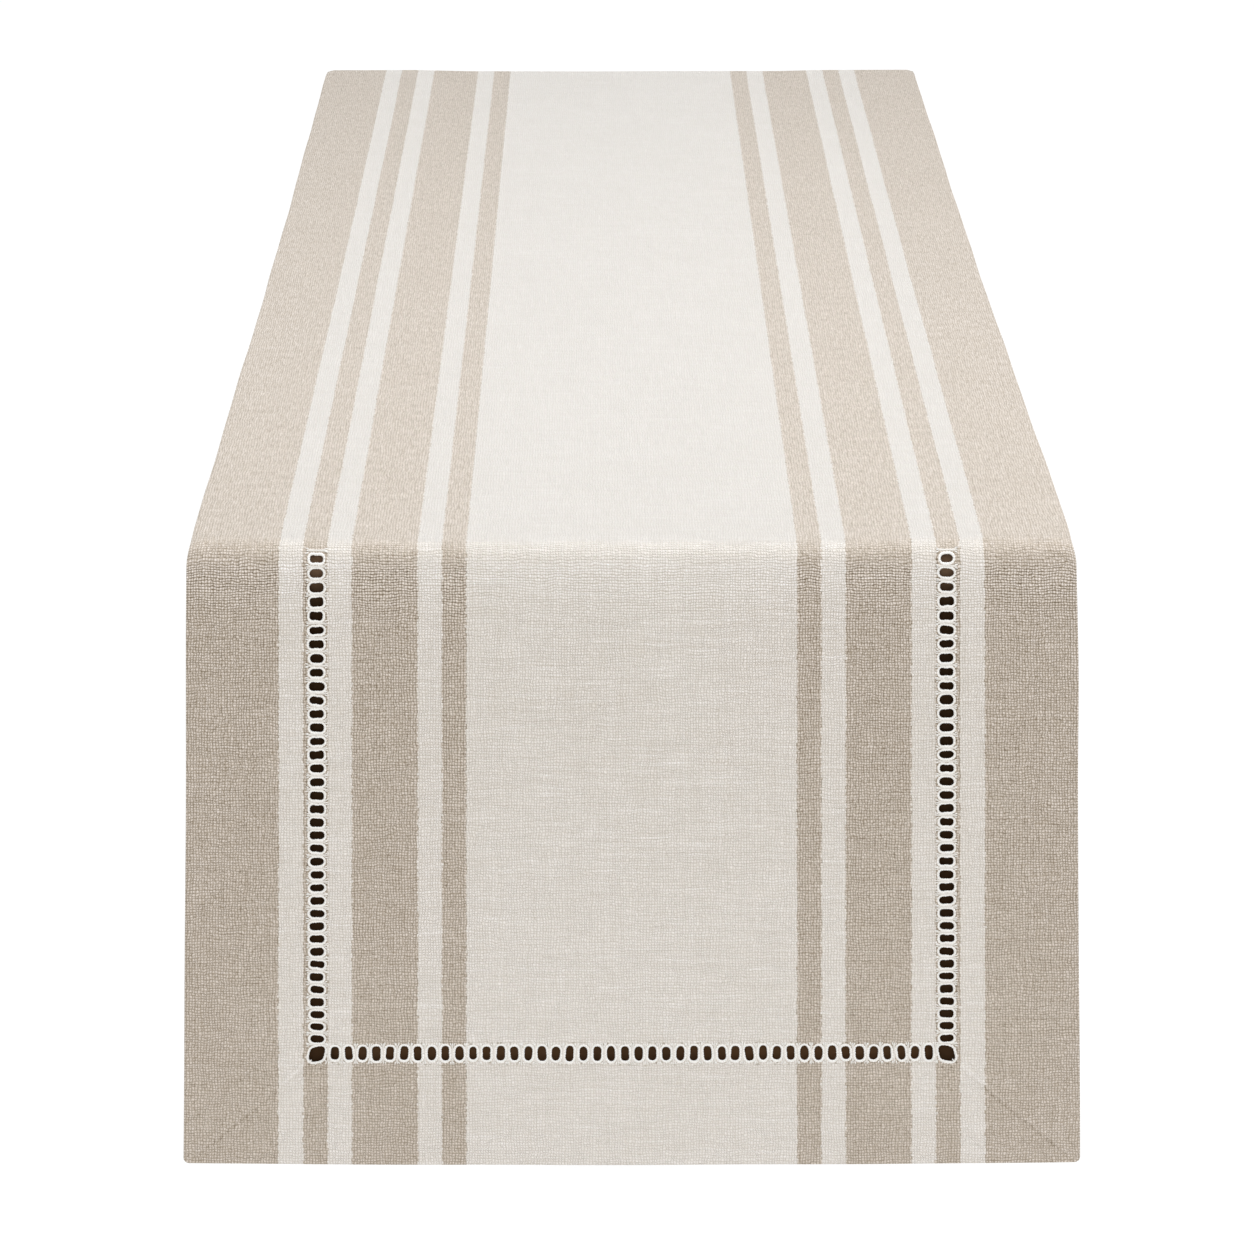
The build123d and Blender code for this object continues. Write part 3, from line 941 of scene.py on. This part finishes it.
class Linen(Nodes):
    """Plain weave of slubby linen, its warp in ivory and flax stripes."""

    def __init__(self, name):
        super().__init__(name)
        m = self.math
        self.cloth = self.cloth_place()
        self.u, self.v, _ = self.split(self.cloth)
        self.off_centre = m("ABSOLUTE", self.u)
        self.past = m("SUBTRACT", m("ABSOLUTE", self.v), SPAN_END)
        self.on_table = self.scale(self.past, -EDGE_RADIUS, EDGE_RADIUS, 1.0, 0.1)
        self.from_crown = m("ABSOLUTE", m("SUBTRACT", self.past, 0.45 * BEND_LENGTH))
        self.weave()
        ragged = self.centred(self.stretched(self.u, 300.0, self.weft, 1.3), 2.6 * MM)
        self.flax = stripe_mask(self, self.sum(self.off_centre, ragged))

    def by_stripe(self, tones):
        """The first number in the ivory stripes and the second in the flax ones."""
        return self.scale(self.flax, 0.0, 1.0, *tones)

    def weave(self):
        """The yarns that cross at a point, their rounded beads and their slubs."""
        m = self.math
        drift = self.split(self.noise(self.cloth, 90.0, colour=True))
        jitter = self.split(self.noise(self.cloth, 600.0, 1.0, colour=True))
        yarns = []
        for at, way, reach in ((self.u, 0, 2.0), (self.v, 1, 2.4)):
            off_line = self.centred(drift[way], reach), self.centred(jitter[way], 0.9)
            yarn = self.sum(m("DIVIDE", at, YARN), *off_line)
            line = m("FLOOR", self.sum(m("DIVIDE", at, THREAD), self.centred(drift[way], 3.0)))
            yarns.append((m("FLOOR", yarn), m("SINE", self.product(m("FRACT", yarn), math.pi)), line))
        (self.warp, across_warp, warp_line), (self.weft, self.across_weft, weft_line) = yarns
        warp_over = m("FLOORED_MODULO", self.sum(self.warp, self.weft), 2.0)
        self.warp_slub = self.stretched(warp_line, SLUB_APART, self.v, SLUB_SCALE, detail=1.0)
        self.weft_slub = self.stretched(self.u, SLUB_SCALE, weft_line, SLUB_APART, 7.0, detail=1.0)
        warp_bead = m("POWER", across_warp, self.scale(warp_over, 0.0, 1.0, 0.55, 0.95))
        weft_bead = m("POWER", self.across_weft, self.scale(warp_over, 0.0, 1.0, 0.95, 0.55))
        self.bead = self.product(warp_bead, weft_bead)
        slub = self.scale(warp_over, 0.0, 1.0, self.weft_slub, self.warp_slub)
        self.height = self.product(self.bead, self.scale(slub, 0.3, 0.75, 0.85, 1.2))

    def grain(self):
        """The yarns' beads, painted shade in the gaps between them, slubs and lumps: softer on the
        table and towards the hem.
        """
        m = self.math
        mottle = self.stretched(self.u, 420.0, self.v, 230.0, detail=3.0)
        flattened = self.scale(self.from_crown, 0.3 * BEND_LENGTH, 0.8 * BEND_LENGTH, 0.45, 1.0)
        tones = self.sum(
            self.centred(self.cell_random(self.warp, self.weft), self.by_stripe(OWN_TONE)),
            self.centred(self.cells(self.u, self.v, YARN), self.by_stripe(LUMPS)),
            self.centred(mottle, self.by_stripe(MOTTLE)),
            self.centred(self.warp_slub, self.by_stripe(WARP_SLUBS)),
            self.centred(self.weft_slub, self.by_stripe(WEFT_SLUBS)),
            self.product(self.scale(self.weft_slub, 0.62, 0.76), THICK),
            self.product(m("SUBTRACT", 0.5, self.bead), self.by_stripe(PAINTED_GAP_SHADE), flattened),
        )
        on_table = self.scale(self.on_table, 0.1, 1.0, 1.0, 0.64)
        return self.product(tones, on_table, self.scale(self.past, BEND_LENGTH, HEM, 1.1, 0.8))

    def table_tones(self):
        """The cloth on the table: painted paler, and streaked along the warp."""
        streak = self.stretched(self.u, 800.0, self.v, 120.0, 5.0, detail=1.0)
        streak = self.centred(streak, self.product(self.on_table, self.by_stripe(STREAKS)))
        return self.sum(self.product(self.on_table, self.by_stripe(PAINTED_TABLE_LIGHT)), streak)

    def bend_tones(self):
        """Painted light and shade at the bend: its crown, shade in the furrows of its strained cloth,
        and painted light under it and lower down.
        """
        m = self.math
        strained = self.product(
            self.scale(self.past, BEND_LENGTH, 3 * BEND_LENGTH, 1.0, 0.0),
            m("SUBTRACT", 1.0, self.on_table),
            self.scale(self.past, 0.5 * BEND_LENGTH, 1.1 * BEND_LENGTH),
        )
        furrow = self.product(m("SUBTRACT", self.across_weft, 0.64), strained, self.by_stripe(FURROW_SHADE))
        crown = self.scale(self.from_crown, 0.0, 0.6 * BEND_LENGTH, self.by_stripe(CROWN_LIGHT_AND_SHADE), 0.0)
        under = self.scale(self.past, BEND_LENGTH, 2.4 * BEND_LENGTH, PAINTED_LIGHT_UNDER_BEND, 0.0)
        under = self.product(under, self.scale(self.past, 0.7 * BEND_LENGTH, BEND_LENGTH))
        return self.sum(furrow, crown, under, self.scale(self.past, 0.3 * HEM, HEM, 0.0, PAINTED_LIGHT_TOWARD_HEM))

    def mitre_line(self):
        """The mitred seam showing through: its ridge, and the dotted shadow beside it, 0 to 1."""
        m = self.math
        across = m("DIVIDE", m("SUBTRACT", self.off_centre, LADDER_OUT), MITRE_ACROSS)
        down = m("DIVIDE", m("SUBTRACT", self.past, ROW_END), MITRE_DOWN)
        apart = MITRE_ACROSS * MITRE_DOWN / math.hypot(MITRE_ACROSS, MITRE_DOWN)
        off = self.product(m("SUBTRACT", across, down), apart)
        there = self.scale(across, 0.0, 0.06)
        ridge = self.product(self.scale(m("ABSOLUTE", off), 0.0, MITRE_WIDE, 1.0, 0.0), there)
        beside = m("ABSOLUTE", self.sum(off, 0.9 * MITRE_WIDE))
        beside = self.scale(beside, 0.2 * MITRE_WIDE, 0.8 * MITRE_WIDE, 1.0, 0.0)
        dots = m("SINE", self.product(self.u, 2 * math.pi / MITRE_DOTS))
        return ridge, self.product(beside, self.scale(dots, -0.6, 0.6, 0.2, 1.0), there)

    def needle_marks(self):
        """Small dark pricks in the cloth beside the ladder, where its stitches go in, 0 to 1."""
        m = self.math
        dots = self.scale(self.cells(self.u, self.v, 2.5 * MM, 1.0), 0.12, 0.26, 1.0, 0.0)
        near = (LADDER / 2 + 0.6 * MM, LADDER / 2 + 1.4 * MM, 1.0, 0.0)
        beside = self.product(
            self.scale(m("ABSOLUTE", m("SUBTRACT", self.off_centre, LADDER_MID)), *near),
            self.scale(self.past, 0.5 * BEND_LENGTH, 0.8 * BEND_LENGTH),
            m("LESS_THAN", self.past, ROW + LADDER),
        )
        below = self.scale(m("ABSOLUTE", m("SUBTRACT", self.past, ROW)), *near)
        below = self.product(below, m("LESS_THAN", self.off_centre, LADDER_OUT))
        return self.product(dots, m("MAXIMUM", beside, below))


def linen_material():
    nodes = Linen("striped_linen")
    fibre = nodes.noise(nodes.cloth, 2600.0)
    cloudy = nodes.noise(nodes.cloth, 14.0, 3.0)
    seam, seam_shadow = nodes.mitre_line()
    light = nodes.sum(
        1.0,
        nodes.grain(),
        nodes.table_tones(),
        nodes.bend_tones(),
        nodes.centred(fibre, FIBRE),
        nodes.centred(cloudy, CLOUDY),
        nodes.product(seam, SEAM),
        nodes.product(nodes.needle_marks(), NEEDLE_MARKS),
        nodes.product(seam_shadow, nodes.by_stripe(SEAM_SHADOW)),
    )
    light = nodes.math("MAXIMUM", light, 0.05)
    # Darker linen is also redder.
    tinted = nodes.join(*[nodes.math("POWER", light, power) for power in (0.93, 1.03, 1.23)])
    nodes.surface(
        Base_Color=nodes.mix(1.0, nodes.mix(nodes.flax, IVORY_YARN, FLAX_YARN), tinted, "MULTIPLY"),
        Roughness=nodes.scale(nodes.height, 0.3, 1.0, 0.95, 0.78),
        Specular_IOR_Level=0.3,
        Sheen_Weight=nodes.by_stripe(SHEEN),
        Sheen_Roughness=0.43,
        Sheen_Tint=(0.98, 0.975, 0.95, 1.0),
    )
    nodes.bump(nodes.sum(nodes.height, nodes.product(fibre, 0.12), nodes.product(seam, 1.1)), 0.32 * MM)
    return nodes.material


def thread_material(name, colour, twist):
    """Cotton thread with its twist; twist is the distance from one turn to the next."""
    nodes = Nodes(name)
    along, around, _ = nodes.split(nodes.cloth_place())
    turns = nodes.sum(nodes.math("DIVIDE", along, twist), nodes.math("DIVIDE", around, 1.5 * MM))
    ply = nodes.math("ABSOLUTE", nodes.math("SINE", nodes.product(turns, math.pi)))
    uneven = nodes.stretched(along, 700.0, around, 700.0, detail=3.0)
    # Painted shade in the grooves of the twist.
    light = nodes.scale(ply, 0.0, 1.0, 0.95, 1.0)
    light = nodes.product(light, nodes.scale(uneven, 0.3, 0.7, 0.96, 1.02))
    nodes.surface(
        Base_Color=nodes.shade(colour[:3], light),
        Roughness=nodes.scale(uneven, 0.3, 0.7, 0.62, 0.78),
        Specular_IOR_Level=0.4,
        Sheen_Weight=0.2,
    )
    nodes.bump(nodes.sum(ply, nodes.product(uneven, 0.4)), 0.08 * MM)
    return nodes.material


def plain_material(name, colour, roughness, grain, glow=0.0):
    """A matt stage surface with a fine grain."""
    nodes = Nodes(name)
    light = nodes.scale(nodes.noise(nodes.position(), grain, 3.0), 0.3, 0.7, 0.97, 1.03)
    nodes.surface(
        Base_Color=nodes.shade(colour, light),
        Roughness=roughness,
        Specular_IOR_Level=0.1,
        Emission_Color=(1, 1, 1, 1),
        Emission_Strength=glow,
    )
    return nodes.material


def dark_end_material():
    """Dark brown, partly as painted shade behind the openings, with painted light: paler just under the
    bend where light gets in behind the cloth.
    """
    nodes = Nodes("dark_block_end")
    x, _, height = nodes.split(nodes.position())
    bend_end = -EDGE_RADIUS
    lit = nodes.math("POWER", nodes.scale(height, bend_end - 18 * MM, bend_end), 2.0)
    # Painted light: paler lower down, and paler still behind the bottom row.
    low = nodes.scale(height, -DROP, -0.55 * DROP, 1.6, 1.1)
    behind_row = nodes.scale(nodes.math("ABSOLUTE", x), LADDER_IN - 4 * MM, LADDER_IN, 1.9, 1.0)
    nodes.surface(
        Base_Color=nodes.shade(nodes.mix(lit, BLOCK_DARK, BLOCK_LIT), nodes.product(low, behind_row)),
        Roughness=0.9,
        Specular_IOR_Level=0.0,
    )
    return nodes.material


# ======== stage ========
FLOOR_GAP = 1.5 * MM
FLOOR_REACH = 30.0
BLOCK_IN = 8.0 * MM  # the block is this much narrower than the runner, on each side
BLOCK_UNDER = 1.5 * MM  # and this far under the bend
FOOT = 2.5 * MM  # height of its foot
FOOT_IN = 30.0 * MM  # and how far that is set back under its end faces
FLOOR_GREY = (0.13, 0.13, 0.13)
FLOOR_GLOW = 0.92
BLOCK_PALE = (0.85, 0.84, 0.82)
BLOCK_DARK = (0.045, 0.024, 0.012, 1.0)
BLOCK_LIT = (0.27, 0.17, 0.105, 1.0)


def stage_mesh(name, points, faces, materials, face_materials=None):
    mesh = bpy.data.meshes.new(name)
    mesh.from_pydata(points, [], faces)
    for material in materials:
        mesh.materials.append(material)
    if face_materials:
        mesh.polygons.foreach_set("material_index", face_materials)
    mesh.update()
    thing = add_object(name, mesh)


def floor():
    low = cad_box[0][2] - FLOOR_GAP
    r = FLOOR_REACH
    points = [(-r, -r, low), (r, -r, low), (r, r, low), (-r, r, low)]
    pale = plain_material("pale_floor", FLOOR_GREY, 0.9, 40.0, glow=FLOOR_GLOW)
    stage_mesh("floor", points, [(0, 1, 2, 3)], [pale])


def table_stand_in():
    """A block that the runner lies on: pale, with dark ends behind the hanging cloth that are partly
    painted shade.
    """
    half = HALF_WIDTH - BLOCK_IN
    radius = EDGE_RADIUS - BLOCK_UNDER
    low = cad_box[0][2] - FLOOR_GAP
    foot = low + FOOT
    arc = np.linspace(0, BEND, 10)
    back = [(SPAN_END + radius * math.sin(a), radius * math.cos(a) - EDGE_RADIUS) for a in arc]
    back.append((back[-1][0] + (back[-1][1] - foot) / math.tan(BEND), foot))
    back += [(back[-1][0] - FOOT_IN, foot), (back[-1][0] - FOOT_IN, low)]
    profile = back + [(-y, z) for y, z in reversed(back)]
    count = len(profile)
    points = [(x, y, z) for x in (-half, half) for y, z in profile]
    faces = [(i, (i + 1) % count, count + (i + 1) % count, count + i) for i in range(count)]
    end_faces = range(len(arc))
    dark = [int(i in end_faces or count - 2 - i in end_faces) for i in range(count)]
    faces += [tuple(range(count)), tuple(range(2 * count - 1, count - 1, -1))]
    pale = plain_material("pale_block", BLOCK_PALE, 0.85, 60.0)
    stage_mesh("table_stand_in", points, faces, [pale, dark_end_material()], dark + [0, 0])


# ======== light and camera ========
SKY = (1.0, 0.995, 0.985, 1.0)
SKY_STRENGTH = 0.66
LAMP_AT = (0.45, -0.5, 1.7)
LAMP_SIZE = 1.9
LAMP_POWER = 37.0
LAMP_COLOUR = (0.96, 1.0, 1.06)
CAMERA_LENS = 181.55
CAMERA_AT = (-0.0130, -(SPAN_END + 2.475), 0.5463)
CAMERA_DOWN = 13.22  # degrees
CAMERA_ASIDE = -0.258


def aim(thing, target):
    to = np.array(target, float) - np.array(thing.location, float)
    flat = math.hypot(to[0], to[1])
    thing.rotation_euler = (math.pi / 2 + math.atan2(to[2], flat), 0, -math.atan2(to[0], to[1]))


def lights():
    world = bpy.data.worlds.new("studio")
    bpy.context.scene.world = world
    world.use_nodes = True
    sky = world.node_tree.nodes["Background"]
    sky.inputs[0].default_value = SKY
    sky.inputs[1].default_value = SKY_STRENGTH
    light = bpy.data.lights.new("overhead", "AREA")
    light.shape = "RECTANGLE"
    light.size = light.size_y = LAMP_SIZE
    light.energy = LAMP_POWER
    light.color = LAMP_COLOUR
    lamp = add_object("overhead", light)
    lamp.location = LAMP_AT
    aim(lamp, (0.0, -0.4, 0.0))
    bpy.context.scene.view_settings.view_transform = "Standard"


def camera():
    lens = bpy.data.cameras.new("camera")
    lens.lens = CAMERA_LENS
    lens.sensor_width = 36.0
    lens.clip_end = 100.0
    view = add_object("camera", lens)
    view.location = CAMERA_AT
    view.rotation_euler = (math.radians(90 - CAMERA_DOWN), 0, math.radians(CAMERA_ASIDE))
    bpy.context.scene.camera = view


# ======== the runner ========
SPAN_NODES = [f"span_{name}" for name in STRIPES]
SPAN_NODES += ["span_left_border", "span_right_border", "span_left_hem_facing", "span_right_hem_facing"]
END_NODES = [*STRIPES, "left_border", "right_border", "left_hem_facing", "right_hem_facing"]
END_NODES += ["end_hem_facing", "bend_ivory", "bend_flax", "bend_hem_facings"]


def build():
    linen = linen_material()
    thread = thread_material("white_ladder_thread", THREAD_WHITE, 0.9 * MM)
    core = thread_material("bound_bar_thread", THREAD_GREY, 0.6 * MM)
    sewing = thread_material("sewing_thread", THREAD_WHITE, 0.7 * MM)
    columns = cloth_columns()
    for index in range(SPAN_PIECES):
        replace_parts(span_cloth(index, columns, linen), *SPAN_NODES)
    hem_stitches(sewing)
    for name, end in (("front", -1), ("back", 1)):
        holes = {
            "left": side_row(-1),
            "right": side_row(1),
            "end": bottom_row(),
            "corners": [corner_hole(-1), corner_hole(1)],
        }
        cloth = end_cloth(name, end, columns, holes, linen)
        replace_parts(cloth, *[f"{name}_{node}" for node in END_NODES])
        threads = [
            side_threads(name, "left", -1, end, holes["left"], thread),
            side_threads(name, "right", 1, end, holes["right"], thread),
            end_threads(name, end, holes["end"], thread),
            corner_threads(name, end, holes["corners"], thread),
            ladder_bars(name, end, core),
            mitre_stitches(name, end, sewing),
        ]
        for piece in threads:
            bend_with_drop(piece, end)


camera()
lights()
floor()
table_stand_in()
build()
